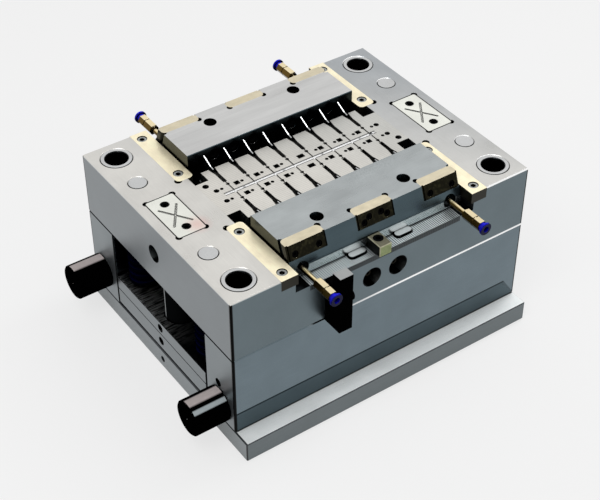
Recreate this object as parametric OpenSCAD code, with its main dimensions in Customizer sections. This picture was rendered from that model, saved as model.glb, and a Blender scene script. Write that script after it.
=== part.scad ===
// Moving half of a sixteen cavity injection mould with two side action slides.
// Origin at the centre of the clamp plate's underside, +Z up towards the parting face.
// X runs along the long side, Y from the front slide to the rear slide. Millimetres.

/* [Mould base] */
// Length of every plate along X
base_l = 450; // [444:1:480]
// Width of the moving plate along Y
plate_w = 350; // [346:1:380]
// Width of the bottom clamp plate along Y
clamp_w = 400; // [380:1:430]
// Thickness of the bottom clamp plate
clamp_t = 30; // [28:1:40]
// Height of the spacer blocks
spacer_h = 120; // [116:1:150]
// Width of each spacer block
spacer_w = 63; // [58:1:64]
// Thickness of the moving plate
plate_t = 90; // [86:1:110]
// Chamfer on the edges of the plates
edge_c = 1.5; // [0.5:0.1:3]
// Step of the clamp flanges below the seat of the spacer blocks
flange_drop = 0.5; // [0.2:0.1:1]
// Bore of the ejector rod hole in the clamp plate
rod_hole_d = 40; // [30:1:50]
// Thread hole for an eyebolt in each end of the moving plate
eyebolt_d = 24; // [16:1:26]
// Depth of the eyebolt holes
eyebolt_depth = 32; // [24:1:36]

/* [Guide bushes] */
// Distance of a bush centre from the plate's end
bush_end = 32.5; // [31:0.5:36]
// Distance of a bush centre from the plate's side
bush_side = 32; // [30:0.5:33]
// Bore that takes the guide pillar
bush_bore = 30; // [26:1:32]
// Outside diameter of a bush
bush_od = 42; // [40:1:44]
// Head of a bush, diameter
bush_head_d = 47; // [46:1:50]
// Head of a bush, height
bush_head_h = 8; // [6:1:10]
// Chamfer round a bush or return pin, and round its hole
bush_c = 0.8; // [0.5:0.1:1.2]
// Depth of the clear hole below a bush, in the spacer
pillar_relief = 45; // [30:1:50]

/* [Ejector set] */
// Gap between the ejector plates and each spacer block
eject_gap = 2; // [1:0.5:4]
// Thickness of the ejector plate
ejector_t = 25; // [22:1:27]
// Thickness of the ejector retainer plate
retainer_t = 20; // [18:1:22]
// Height of the stop buttons
stop_h = 5; // [4:0.5:6]
// Ejector stroke
stroke = 40; // [30:1:42]
// Return pin diameter
return_d = 25; // [20:1:26]
// Distance of a return pin from the plate's end
return_end = 29; // [28:0.5:32]
// Distance of a return pin from the ejector plates' side
return_in = 27; // [25:0.5:30]
// Outside diameter of a return spring
spring_od = 44; // [42:0.5:46]
// Radial width of the spring wire
spring_wire_w = 8; // [6:0.5:8]
// Axial height of the spring wire
spring_wire_h = 4.5; // [3:0.1:5]
// Number of coils in a return spring
spring_coils = 8; // [6:1:9]
// Depth of the spring pocket in the moving plate
spring_pocket = 25; // [20:1:28]
// Support pillar diameter
support_d = 40; // [30:1:42]
// Distance of the end pillars from the plate's end
support_end = 32; // [30:0.5:36]
// Distance of the middle pillars from the ejector plates' side
support_in = 48; // [44:1:52]
// Ejector guide pin diameter
guide_pin_d = 20; // [16:1:22]
// Ejector guide pins, distance from the centre along X
guide_pin_x = 110; // [104:1:116]
// Ejector guide pins, distance from the ejector plates' side
guide_pin_in = 24; // [22:1:28]

/* [Core inserts] */
// Half length of the core inserts along X
insert_hl = 140.4; // [138:0.1:142]
// Half width of the pair of core inserts along Y
insert_hw = 54.5; // [53:0.5:56]
// Depth of the core inserts
insert_depth = 50; // [46:1:54]
// Distance between cavities
cavity_pitch = 30; // [29:0.5:31]
// Number of cavities in a row
cavities = 8; // [4:2:8]
// Width of a cavity slot
cavity_w = 5.4; // [5:0.1:6]
// Depth of a cavity slot
cavity_depth = 8; // [7:0.5:10]
// Width of the gap between two pads at their tips
tip_gap = 10.2; // [9:0.1:12]
// Width of the main runner
runner_w = 3.6; // [3:0.1:5]
// Width of a branch runner
branch_w = 2; // [1.5:0.1:2.5]
// Size of the square sockets
socket_w = 7.3; // [6:0.1:8]
// Ejector pin diameter
pin_d = 4.6; // [4:0.1:5]

/* [Slides] */
// Distance of a slide's end from the plate's end
slide_end = 96; // [94:0.5:99]
// Height of a slide above the parting face
slide_rise = 19; // [16:0.5:22]
// Depth of the slide channel below the parting face
channel_drop = 26; // [24:0.5:28]
// Room between an open slide's foot and the plate's side
stop_room = 19.3; // [18.5:0.1:24]
// Travel of a slide from its stop to closed
slide_travel = 17; // [14:0.5:18]
// Angle of the heel face from vertical
heel_angle = 20; // [16:0.5:22]
// Height of the upright foot face below the heel
foot_h = 17; // [15:0.5:19]
// Step of the guiding shoulder at each end
shoulder_w = 5.8; // [5:0.1:7]
// Diameter of an angle pin hole
angle_hole_d = 17; // [14:0.5:18]
// Slant of the angle pin holes
pin_angle = 18; // [15:0.5:20]
// Angle pin holes, distance from the end heel plates along X
angle_hole_side = 7.5; // [5:0.5:12]
// Angle pin holes, distance from the heel's upper edge
angle_hole_out = 26.5; // [24:0.5:30]
// Thickness of a core blade
blade_t = 2.4; // [2:0.1:3]
// Reach of a core blade from the slide's inner face
blade_reach = 22; // [20:0.5:24]
// Width of a heel plate
heel_w = 56; // [52:1:58]
// Thickness of a heel plate
heel_t = 13.6; // [12:0.1:14.5]
// Length of a heel plate down its slope
heel_l = 20; // [18:0.5:22]

/* [Gibs and wear parts] */
// Width of a gib
gib_w = 24; // [22:0.5:26]
// Thickness of a gib
gib_t = 15; // [14:0.5:16]
// Gap between a slide and a gib
gib_gap = 2; // [1:0.1:3]
// Distance of a wear plate's end from the slide's end
wear_end = 15; // [12:1:20]
// Thickness of the wear plate under a slide
wear_t = 8; // [6:0.5:10]
// Wear pad length along Y
pad_l = 83; // [78:1:88]
// Wear pad width along X
pad_w = 42; // [38:1:44]
// Wear pad thickness
pad_t = 8; // [7:0.5:10]
// Corner radius of a wear pad
pad_r = 5; // [3:0.5:7]
// Distance of a wear pad's centre from the plate's end
pad_end = 34; // [32:0.5:36]
// Stop block width
stop_w = 18; // [16:1:20]
// Stop block height
stop_rise = 16; // [14:1:18]
// Overhang of a stop block past the plate's side
stop_over = 7; // [4:1:10]

/* [Outside fittings] */
// Mould foot diameter
foot_d = 48; // [40:1:52]
// Mould foot length
foot_l = 48.5; // [40:0.5:60]
// Height of the front foot above the clamp plate's underside
foot_z = 57; // [56:1:62]
// Height of the rear foot above the clamp plate's underside
foot_rear_z = 66; // [58:1:72]
// Thread hole above the front foot, for a lifting ring
lift_d = 12; // [10:1:14]
// Hose outside diameter
hose_d = 8; // [6:1:8]
// Hose fittings, distance from the slide's end
hose_end = 17; // [15:0.5:20]
// Hose fittings, height above the slide channel's floor
hose_rise = 12; // [11:0.5:13]
// Length of a fitting's stem outside the slide's foot
stem_l = 31.5; // [24:0.5:38]
// Diameter of a cooling port in the front face
port_d = 28; // [24:1:30]
// Distance between the two cooling ports
port_pitch = 40; // [38:1:44]
// Latch block width
latch_w = 19; // [16:1:22]
// Latch block depth out from the front face
latch_out = 29; // [26:1:34]
// Latch block height below the slide channel's floor
latch_down = 67; // [60:1:72]
// Height of the latch block's lip above the slide channel's floor
latch_up = 18; // [14:1:22]

/* [Hidden] */

$fn = 48;
// A cut runs past the face that it opens by this much
over = 1;
// Radial clearance of a running pin, and of a screw's shank in its hole
run = 0.05;
loose = 0.3;
// Clearance of the sliding flat faces
slip = 0.2;
// Gap that stays between a stopped slide and its stop
stop_gap = 0.3;

steel = "#B9BDBF";
ground = "#C8CACB";
dark = "#26282A";
brass = "#C9A45C";
bronze = "#DCC48C";
blue = "#1A1AB4";

// Levels of the stack
z_spacer = clamp_t;
z_plate = z_spacer + spacer_h;
z_part = z_plate + plate_t;
z_eject = z_spacer + stop_h;
z_retain = z_eject + ejector_t;
z_retain_top = z_retain + retainer_t;
z_insert = z_part - insert_depth;
z_floor = z_part - channel_drop;
z_gib = z_part - gib_t;
z_slide = z_part + slide_rise;
z_spring_top = z_plate + spring_pocket;
socket_deep = 12;
z_socket = z_part - socket_deep;

// Places in plan
spacer_y = plate_w / 2 - spacer_w / 2;
ejector_w = plate_w - 2 * (spacer_w + eject_gap);
return_y = ejector_w / 2 - return_in;
support_y = ejector_w / 2 - support_in;
guide_pin_y = ejector_w / 2 - guide_pin_in;
bush_x = base_l / 2 - bush_end;
bush_y = plate_w / 2 - bush_side;
return_x = base_l / 2 - return_end;
support_x = base_l / 2 - support_end;
pad_x = base_l / 2 - pad_end;
clamp_screw_x = 120;
spacer_screw_x = 60;
pad_screw_y = 25.5;
insert_screw_x = [-112, -45, 45, 112];
insert_screw_y = 42;
join_screw_end = 13;
join_screw_x = [join_screw_end - base_l / 2, -75, 75, base_l / 2 - join_screw_end];
join_screw_in = 60;
join_screw_y = ejector_w / 2 - join_screw_in;
stop_button_x = [-165, -45, 45, 165];
stop_button_d = 20;
stop_button_in = 14;

// Screw sizes
clamp_screw_d = 16;
spacer_screw_d = 10;
insert_screw_d = 8;
join_screw_d = 8;
pad_screw_d = 6;
gib_screw_d = 8;
stop_screw_d = 8;
heel_screw_d = 5;
latch_screw_d = 6;
inner_screw_d = 10;
gib_screw_in = 16;
gib_screw_out = 14;
gib_screw_off = 1.5;

// Length of thread that holds each screw, and how far a hole runs on past its screw
clamp_thread = 28;
spacer_thread = 18;
insert_thread = 12;
join_thread = 10;
pad_thread = 8;
stop_thread = 10;
latch_thread = 7;
gib_screw_l = 20;
heel_screw_l = 16;
inner_screw_l = 18;
hole_end = 4;

// Holes in the ends of the plates, and the seat of each ejector guide pin
end_hole_d = 9;
end_hole_depth = 25;
eject_hole_d = 12;
eject_hole_depth = 9;
lift_depth = 30;
guide_seat = 12;
guide_bush_wall = 6;
guide_flange = 3;
guide_flange_h = 6;
guide_bush_od = guide_pin_d + 2 * guide_bush_wall;

// Slide, in the rest pose, against its stop
half_slide = base_l / 2 - slide_end;
slide_l = 2 * half_slide;
shut_gap = 0.5;
slide_in = insert_hw + shut_gap + slide_travel;
z_foot = z_floor + foot_h;
foot_y = plate_w / 2 - stop_room;
slide_out = foot_y - (z_slide - z_foot) * tan(heel_angle);
channel_x = half_slide + shoulder_w + slip;
gib_in = half_slide + gib_gap;
gib_out = gib_in + gib_w;
gib_shoulder_h = z_gib - z_floor - slip;
side_drop = 0.5;
wear_in = insert_hw + 4;
stop_in = foot_y + stop_gap;
stop_x = -8;
stop_hole_in = 10;
stop_screw_l = stop_rise - stop_screw_d + wear_t + stop_thread;
key_x = 35;
key_l = 24;
key_w = 9;
key_rise = 3;
key_sink = 5;
key_room = 2;
heel_low_x = 17;
heel_low_z = 7;
heel_high_x = 9;
heel_high_z = 8;
heel_x = half_slide - heel_w / 2;
hose_x = half_slide - hose_end;
wear_hl = half_slide - wear_end;
foot_c = 1.5;

// Angle pin holes, and the relief under each that the pin's tip drops into
angle_hole_x = half_slide - heel_w - angle_hole_side;
angle_hole_y = slide_out - angle_hole_out;
relief_w = angle_hole_d + 3;
relief_out = angle_hole_y + (z_slide - z_floor + wear_t) * tan(pin_angle);
relief_in = angle_hole_y + (z_slide - z_floor) * tan(pin_angle) - slide_travel;

// Screws in the slide's inner face, between the core blades
inner_screw_drop = 13;
blade_root = 8;
blade_top_in = 10;
blade_top_tip = 2.5;
blade_flat = 6.5;
z_blade = z_part - cavity_depth + 1;

// Core insert pattern, as offsets from the centre line
pocket_y = 22;
throat_y = 41;
hole_y = 12;
gate_y = 16.6;
gate_d = 5;
notch_x = 121;
notch_y = 36;
runner_l = 232;
runner_mid = -3;
runner_deep = 2;
branch_deep = 1.5;
side_hole_d = 8.5;
side_hole_x = 131;
side_hole_y = 27;
cavity_at = [for (i = [0:cavities - 1]) (i - (cavities - 1) / 2) * cavity_pitch];
half_row = cavities / 2;
pad_at = [for (i = [-half_row:half_row]) i * cavity_pitch];
inner_pads = [for (p = pad_at) if (p != 0 && abs(p) < half_row * cavity_pitch) p];
pin_shift = 3.2;
socket_shift = 4.4;
pin_at = [for (p = pad_at) if (p != 0) p - sign(p) * pin_shift];
runner_pin_x = [-90, -30, 30, 90];
runner_pin_d = 4;
puller_x = 108;
puller_d = 6;
pin_head_h = 4;
pin_head = 4;
pin_drop = 3;
mid_socket = [-2, 8];
side_hole_deep = 18;
pad_fit = 0.3;
pad_relief_d = 9;
mark_l = 46;
mark_w = 1.6;
mark_deep = 0.6;
mark_angle = 34;
return_head_h = 8;
return_head_d = return_d + 5;

// Hose fitting, out along the fitting's own axis from the slide's foot
z_hose = z_floor + hose_rise;
spot_d = 19;
spot_depth = 10;
thread_l = 8;
thread_d = 9.7;
duct_d = 5;
duct_end = 12;
stem_d = 7;
stem_bore = 4;
hex_af = 13;
hex_l = 17;
waist_l = 1.5;
cap_l = 14;
hose_seat = 6;
ring_d = 17;
ring_flange = 3.5;
ring_push = 1.5;
ring_neck_d = 11.5;
ring_neck_l = 7;
ring_seat = 2;
ring_c = 0.6;

// Cooling circuit of the front core insert
port_x = [-2 - port_pitch / 2, -2 + port_pitch / 2];
port_rise = 31;
z_port = z_plate + port_rise;
port_depth = 24;
channel_d = 8;
riser_y = 38;
z_loop = z_insert + 14;
nipple_hex = 14;
nipple_hex_l = 6;
nipple_d = 9;
nipple_l = 15;
nipple_bore = 5;
nipple_thread = 8;
barb_d = 10.5;
barb_l = 2.5;
barb_end = 1.5;

// Feet
foot_pin_d = 16;
foot_pin_l = 25;
foot_edge = 1.5;
foot_dot = 3;
foot_rear_out = 3.5;
lift_gap = 1;

latch_side = 20;
latch_x = latch_side - hose_x;
latch_step = 14;
latch_screw_drop = [45, 15];
plug_d = 15;
plug_l = 9;
plug_pin_d = 8;
plug_pin_l = 4;
plug_hex = 6;
plug_y = 15;
plug_drop = 27;
plug_z = z_floor - plug_drop;

function hex_d(af) = af / cos(30);

// Building blocks

module on_side(s) {
  if (s > 0) children();
  else mirror([0, 1, 0]) children();
}

module corners(x, y) {
  for (sx = [-1, 1], sy = [-1, 1]) translate([sx * x, sy * y, 0]) children();
}

module cut_rect(l, w, c) {
  polygon([
    [-l / 2 + c, -w / 2], [l / 2 - c, -w / 2], [l / 2, -w / 2 + c], [l / 2, w / 2 - c],
    [l / 2 - c, w / 2], [-l / 2 + c, w / 2], [-l / 2, w / 2 - c], [-l / 2, -w / 2 + c]
  ]);
}

// Block with chamfered edges, standing on z = 0 and centred in plan
module plate(l, w, h, c = edge_c) {
  intersection() {
    linear_extrude(h) cut_rect(l, w, c);
    translate([0, w / 2, h / 2]) rotate([90, 0, 0]) linear_extrude(w) cut_rect(l, h, c);
    translate([-l / 2, 0, h / 2]) rotate([90, 0, 90]) linear_extrude(l) cut_rect(w, h, c);
  }
}

module box(x0, x1, y0, y1, z0, z1) {
  translate([x0, y0, z0]) cube([x1 - x0, y1 - y0, z1 - z0]);
}

module post(d, z0, z1) {
  translate([0, 0, z0]) cylinder(d = d, h = z1 - z0);
}

// Rounded rectangle, centred, with true arcs at its corners
module round_rect(l, w, r) {
  square([l - 2 * r, w], center = true);
  square([l, w - 2 * r], center = true);
  for (sx = [-1, 1], sy = [-1, 1]) translate([sx * (l / 2 - r), sy * (w / 2 - r)]) circle(r);
}

// What a chamfer of c takes off the top edge of a post of diameter d that ends at z = 0
module edge_ring(d, c) {
  translate([0, 0, -c]) difference() {
    cylinder(d = d + over, h = c + over);
    translate([0, 0, -0.01]) cylinder(d1 = d + 0.02, d2 = d - 2 * (c + over), h = c + over + 0.01);
  }
}

// Chamfer of c round the mouth of a hole of diameter d at z = 0
module mouth(d, c) {
  translate([0, 0, -c]) cylinder(d1 = d, d2 = d + 2 * (c + over), h = c + over);
}

// Cap screw with its head's top at z = 0 and its shank pointing down
module cap_screw(d, shank) {
  difference() {
    union() {
      translate([0, 0, -d]) cylinder(d = 1.5 * d, h = d);
      translate([0, 0, -d - shank]) cylinder(d = d - 2 * run, h = shank + d / 2);
    }
    translate([0, 0, -0.55 * d]) cylinder(d = hex_d(0.8 * d), h = d, $fn = 6);
  }
}

// Counterbored hole for a cap screw whose head's top lies below z = 0 by sink
module screw_hole(d, shank, sink = 0) {
  translate([0, 0, -d - sink]) cylinder(d = 1.5 * d + 1.5, h = d + sink + over);
  translate([0, 0, -d - sink - shank]) cylinder(d = d, h = shank + d / 2);
}

module headed_pin(d, head_d, head_h, z0, z1) {
  post(head_d, z0, z0 + head_h);
  post(d, z0, z1);
}

// Base of the mould

module clamp_screw_places() {
  corners(clamp_screw_x, spacer_y) children();
}

module spacer_screw_places() {
  corners(spacer_screw_x, spacer_y) children();
}

module bottom_clamp_plate() {
  color(steel) difference() {
    plate(base_l, clamp_w, clamp_t);
    for (s = [-1, 1]) on_side(s)
      box(-base_l, base_l, plate_w / 2, clamp_w, clamp_t - flange_drop, clamp_t + over);
    post(rod_hole_d, -over, clamp_t + over);
    clamp_screw_places() rotate([180, 0, 0]) screw_hole(clamp_screw_d, clamp_t, 2);
    spacer_screw_places() rotate([180, 0, 0]) screw_hole(spacer_screw_d, clamp_t, 2);
    corners(guide_pin_x, guide_pin_y) post(guide_pin_d + 2 * run, clamp_t - guide_seat, clamp_t + over);
    end_hole(end_hole_d, end_hole_depth, clamp_t / 2);
  }
}

// Hole in the middle of each end face of a plate
module end_hole(d, depth, z) {
  for (s = [-1, 1]) translate([s * base_l / 2, 0, z]) rotate([0, -90 * s, 0])
    translate([0, 0, -over]) cylinder(d = d, h = depth + over);
}

module spacer_block(s) {
  color(steel) difference() {
    translate([0, s * spacer_y, z_spacer]) plate(base_l, spacer_w, spacer_h);
    clamp_screw_places() post(clamp_screw_d + 1, z_spacer - over, z_plate + over);
    spacer_screw_places()
      post(spacer_screw_d, z_spacer - over, z_spacer + spacer_thread + hole_end);
    corners(bush_x, bush_y) post(bush_bore + 4, z_plate - pillar_relief, z_plate + over);
    foot_place(s) rotate([180, 0, 0]) translate([0, 0, -over])
      cylinder(d = foot_pin_d, h = foot_pin_l + 1 + over);
    if (s < 0) foot_place(s) translate([foot_d / 2 + lift_d / 2 + lift_gap, 4, 0]) rotate([180, 0, 0])
      translate([0, 0, -over]) cylinder(d = lift_d, h = lift_depth + over);
  }
}

module clamp_screws() {
  color(dark) clamp_screw_places() translate([0, 0, 2]) rotate([180, 0, 0])
    cap_screw(clamp_screw_d, z_plate + clamp_thread - clamp_screw_d);
}

module spacer_screws() {
  color(dark) spacer_screw_places() translate([0, 0, 2]) rotate([180, 0, 0])
    cap_screw(spacer_screw_d, z_spacer + spacer_thread - spacer_screw_d);
}

module guide_bush(sx, sy) {
  color(ground) translate([sx * bush_x, sy * bush_y, 0]) difference() {
    union() {
      post(bush_od, z_plate, z_part);
      post(bush_head_d, z_plate, z_plate + bush_head_h);
    }
    post(bush_bore, z_plate - over, z_part + over);
    translate([0, 0, z_part]) mouth(bush_bore, 1);
    translate([0, 0, z_part]) edge_ring(bush_od, bush_c);
  }
}

module gib_screw_places() {
  for (sx = [-1, 1], sy = [-1, 1], y = [insert_hw + gib_screw_in, plate_w / 2 - gib_screw_out])
    translate([sx * (gib_out - gib_w / 2 + gib_screw_off), sy * y, z_part]) children();
}

module pad_screw_places() {
  for (sx = [-1, 1], sy = [-1, 1]) translate([sx * pad_x, sy * pad_screw_y, z_part]) children();
}

module insert_screw_places() {
  for (x = insert_screw_x, sy = [-1, 1]) translate([x, sy * insert_screw_y, z_plate]) children();
}

module stop_place(s) {
  translate([stop_x, s * (stop_in + stop_hole_in), z_floor + stop_rise]) children();
}

module latch_screw_places() {
  for (drop = latch_screw_drop)
    translate([latch_x + latch_w / 2, -plate_w / 2 - latch_out, z_floor - drop])
      rotate([90, 0, 0]) children();
}

// Slide channel with its shoulder slots, gib pockets and wear plate pocket, on the +Y side
module slide_channel() {
  side = plate_w / 2 + over;
  box(-channel_x, channel_x, insert_hw, side, z_floor - side_drop, z_gib);
  box(-gib_out, gib_out, insert_hw, side, z_gib, z_part + over);
  box(-wear_hl, wear_hl, wear_in, side, z_floor - wear_t, z_floor);
  for (s = [-1, 1]) translate([s * (gib_out - 2), insert_hw + 2, z_gib])
    cylinder(r = 5, h = gib_t + over);
}

module pad_pocket() {
  box(-pad_w / 2, pad_w / 2, -pad_l / 2, pad_l / 2, z_part - pad_t, z_part + over);
  corners(pad_w / 2 - 2.5, pad_l / 2 - 2.5) post(pad_relief_d, z_part - pad_t, z_part + over);
}

module cooling_port(x) {
  translate([x, -plate_w / 2, z_port]) rotate([-90, 0, 0]) {
    translate([0, 0, -over]) cylinder(d = port_d, h = port_depth + over);
    cylinder(d = channel_d, h = plate_w / 2 - riser_y);
  }
  translate([x, -riser_y, z_port]) cylinder(d = channel_d, h = z_insert - z_port + over);
}

module moving_plate() {
  color(steel) difference() {
    translate([0, 0, z_plate]) plate(base_l, plate_w, plate_t);
    box(-insert_hl, insert_hl, -insert_hw, insert_hw, z_insert, z_part + over);
    for (s = [-1, 1]) on_side(s) slide_channel();
    corners(bush_x, bush_y) {
      post(bush_od + 2 * run, z_plate - over, z_part + over);
      post(bush_head_d + 2 * run, z_plate - over, z_plate + bush_head_h);
      translate([0, 0, z_part]) mouth(bush_od + 2 * run, bush_c);
    }
    corners(return_x, return_y) {
      post(return_d + 2 * run, z_plate - over, z_part + over);
      post(spring_od + 2, z_plate - over, z_spring_top);
      translate([0, 0, z_part]) mouth(return_d + 2 * run, bush_c);
    }
    corners(guide_pin_x, guide_pin_y)
      post(guide_pin_d + 2 * run, z_plate - over, z_plate + guide_seat);
    for (s = [-1, 1]) translate([s * pad_x, 0, 0]) pad_pocket();
    pad_screw_places() screw_hole(pad_screw_d, pad_t + pad_thread + hole_end, 1);
    gib_screw_places() screw_hole(gib_screw_d, gib_screw_l + 2, 1);
    clamp_screw_places() post(clamp_screw_d, z_plate - over, z_plate + clamp_thread + hole_end);
    insert_screw_places() rotate([180, 0, 0])
      screw_hole(insert_screw_d, insert_screw_d + z_insert - z_plate, 1);
    for (x = pin_at, sy = [-1, 1]) translate([x, sy * hole_y, 0]) pin_way(pin_d);
    for (x = runner_pin_x) translate([x, 0, 0]) pin_way(runner_pin_d);
    translate([puller_x, 0, 0]) pin_way(puller_d);
    for (x = port_x) cooling_port(x);
    end_hole(eyebolt_d, eyebolt_depth, z_plate + plate_t / 2);
    for (s = [-1, 1]) {
      stop_place(s) screw_hole(stop_screw_d, stop_screw_l + 1);
      for (x = [-key_x, key_x]) translate([x, s * (stop_in + key_w / 2), 0]) key_pocket();
    }
    latch_screw_places() screw_hole(latch_screw_d, latch_out + latch_thread + 1);
  }
}

// Clear hole for an ejector pin below the core inserts
module pin_way(d) {
  post(d + 1, z_plate - over, z_insert + over);
}

// Ejector set

module ejector_guide_places() {
  corners(guide_pin_x, guide_pin_y) children();
}

module support_places() {
  for (s = [-1, 1]) {
    translate([s * support_x, 0, 0]) children();
    translate([0, s * support_y, 0]) children();
  }
}

module join_screw_places() {
  for (x = join_screw_x, sy = [-1, 1]) translate([x, sy * join_screw_y, 0]) children();
}

module support_pillars() {
  color(steel) support_places() post(support_d, z_spacer, z_plate);
}

module stop_buttons() {
  color(ground) for (x = stop_button_x, sy = [-1, 1])
    translate([x, sy * (ejector_w / 2 - stop_button_in), 0]) post(stop_button_d, z_spacer, z_eject);
}

module ejector_guide_pins() {
  color(ground) ejector_guide_places()
    post(guide_pin_d, z_spacer - guide_seat, z_plate + guide_seat);
}

module ejector_guide_bushes() {
  color(bronze) ejector_guide_places() difference() {
    union() {
      post(guide_bush_od, z_eject, z_retain_top);
      post(guide_bush_od + 2 * guide_flange, z_retain, z_retain + guide_flange_h);
    }
    post(guide_pin_d + 2 * run, z_eject - over, z_retain_top + over);
  }
}

module ejector_plate() {
  color(steel) difference() {
    translate([0, 0, z_eject]) plate(base_l, ejector_w, ejector_t, 0.8);
    support_places() post(support_d + 3, z_eject - over, z_retain + over);
    ejector_guide_places() post(guide_bush_od + 2 * run, z_eject - over, z_retain + over);
    join_screw_places() translate([0, 0, z_eject]) rotate([180, 0, 0])
      screw_hole(join_screw_d, ejector_t, 1);
    end_hole(eject_hole_d, eject_hole_depth, z_eject + ejector_t / 2);
  }
}

module ejector_retainer_plate() {
  color(steel) difference() {
    translate([0, 0, z_retain]) plate(base_l, ejector_w, retainer_t, 0.8);
    support_places() post(support_d + 3, z_retain - over, z_retain_top + over);
    ejector_guide_places() {
      post(guide_bush_od + 2 * run, z_retain - over, z_retain_top + over);
      post(guide_bush_od + 2 * (guide_flange + run), z_retain - over, z_retain + guide_flange_h);
    }
    join_screw_places() post(join_screw_d, z_retain - over, z_retain + join_thread + hole_end);
    corners(return_x, return_y) {
      post(return_d + 1, z_retain - over, z_retain_top + over);
      post(return_head_d + 1, z_retain - over, z_retain + return_head_h);
    }
    for (x = pin_at, sy = [-1, 1]) translate([x, sy * hole_y, 0]) pin_seat(pin_d);
    for (x = runner_pin_x) translate([x, 0, 0]) pin_seat(runner_pin_d);
    translate([puller_x, 0, 0]) pin_seat(puller_d);
    end_hole(eject_hole_d, eject_hole_depth, z_retain + retainer_t / 2);
  }
}

module pin_seat(d) {
  post(d + 0.6, z_retain - over, z_retain_top + over);
  post(d + pin_head + 0.6, z_retain - over, z_retain + pin_head_h);
}

module ejector_plate_screws() {
  color(dark) join_screw_places() translate([0, 0, z_eject + 1]) rotate([180, 0, 0])
    cap_screw(join_screw_d, ejector_t + join_thread - join_screw_d);
}

module return_pins() {
  color(ground) corners(return_x, return_y) difference() {
    headed_pin(return_d, return_head_d, return_head_h, z_retain, z_part);
    translate([0, 0, z_part]) edge_ring(return_d, bush_c);
  }
}

module ejector_pins() {
  color(ground) for (x = pin_at, sy = [-1, 1]) translate([x, sy * hole_y, 0])
    headed_pin(pin_d, pin_d + pin_head, pin_head_h, z_retain, z_part - pin_drop);
}

module runner_pins() {
  color(ground) {
    for (x = runner_pin_x) translate([x, 0, 0])
      headed_pin(runner_pin_d, runner_pin_d + pin_head, pin_head_h, z_retain, z_part - runner_deep);
    translate([puller_x, 0, 0]) difference() {
      headed_pin(puller_d, puller_d + pin_head, pin_head_h, z_retain, z_part - runner_deep);
      translate([0.8, -puller_d / 2 - over, z_part - runner_deep - 4]) rotate([0, -15, 0])
        cube([puller_d, puller_d + 2 * over, 3]);
    }
  }
}

// Square wire die spring round each return pin, from the retainer plate into its pocket
spring_steps = 16;
spring_n = spring_coils * spring_steps;
spring_rise = (z_spring_top - z_retain_top - spring_wire_h) / spring_n;
function spring_ring(i) = let (a = i * 360 / spring_steps, z = z_retain_top + i * spring_rise)
  [for (q = [[0, 0], [1, 0], [1, 1], [0, 1]])
    let (r = spring_od / 2 - q[0] * spring_wire_w) [r * cos(a), r * sin(a), z + q[1] * spring_wire_h]];

module spring() {
  points = [for (i = [0:spring_n]) each spring_ring(i)];
  faces = [
    [0, 1, 2],
    [0, 2, 3],
    for (i = [0:spring_n - 1], k = [0:3])
      let (a = 4 * i + k, b = 4 * i + (k + 1) % 4) each [[a, a + 4, b + 4], [a, b + 4, b]],
    [4 * spring_n + 2, 4 * spring_n + 1, 4 * spring_n],
    [4 * spring_n + 3, 4 * spring_n + 2, 4 * spring_n]
  ];
  polyhedron(points, faces, convexity = 10);
}

module return_springs() {
  color(blue) corners(return_x, return_y) spring();
}

// Core inserts

// Slot for one cavity, widening between the two pads' tips, on the +Y side
module cavity_slot() {
  w = cavity_w / 2;
  g = tip_gap / 2;
  translate([0, 0, z_part - cavity_depth]) linear_extrude(cavity_depth + over)
    polygon([[-w, pocket_y], [w, pocket_y], [w, throat_y], [g, insert_hw + over],
      [-g, insert_hw + over], [-w, throat_y]]);
}

module core_insert(s) {
  color(ground) on_side(s) difference() {
    union() {
      box(-insert_hl, insert_hl, 0, insert_hw, z_insert, z_floor - side_drop);
      box(-insert_hl, insert_hl, 0, notch_y, z_floor - side_drop, z_part);
      box(-notch_x, notch_x, notch_y, insert_hw, z_floor - side_drop, z_part);
    }
    translate([runner_mid, 0, 0])
      box(-runner_l / 2, runner_l / 2, -over, runner_w / 2, z_part - runner_deep, z_part + over);
    for (x = cavity_at) translate([x, 0, 0]) {
      cavity_slot();
      box(-branch_w / 2, branch_w / 2, 0, pocket_y + over, z_part - branch_deep, z_part + over);
      translate([0, gate_y, 0]) post(gate_d, z_part - 3, z_part + over);
    }
    for (p = inner_pads) translate([p + sign(p) * socket_shift, hole_y, 0])
      box(-socket_w / 2, socket_w / 2, -socket_w / 2, socket_w / 2, z_socket, z_part + over);
    box(mid_socket[0], mid_socket[1], hole_y - socket_w / 2, hole_y + socket_w / 2, z_socket,
      z_part + over);
    for (sx = [-1, 1]) translate([sx * half_row * cavity_pitch + sx * socket_shift, hole_y, 0])
      post(socket_w, z_socket, z_part + over);
    for (x = pin_at) translate([x, hole_y, 0]) post(pin_d + 2 * run, z_insert - over, z_part + over);
    for (x = runner_pin_x) translate([x, 0, 0])
      post(runner_pin_d + 2 * run, z_insert - over, z_part + over);
    translate([puller_x, 0, 0]) post(puller_d + 2 * run, z_insert - over, z_part + over);
    translate([-s * side_hole_x, side_hole_y, 0])
      post(side_hole_d, z_part - side_hole_deep, z_part + over);
    for (x = insert_screw_x) translate([x, insert_screw_y, 0])
      post(insert_screw_d, z_insert - over, z_insert + insert_thread + hole_end);
    if (s < 0) {
      for (x = port_x) translate([x, riser_y, 0]) post(channel_d, z_insert - over, z_loop);
      translate([port_x[0], riser_y, z_loop]) rotate([0, 90, 0])
        cylinder(d = channel_d, h = port_x[1] - port_x[0]);
    }
  }
}

module core_insert_screws() {
  color(dark) insert_screw_places() translate([0, 0, 1]) rotate([180, 0, 0])
    cap_screw(insert_screw_d, z_insert - z_plate + insert_thread - insert_screw_d);
}

// Wear pads, gibs and stops

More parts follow.
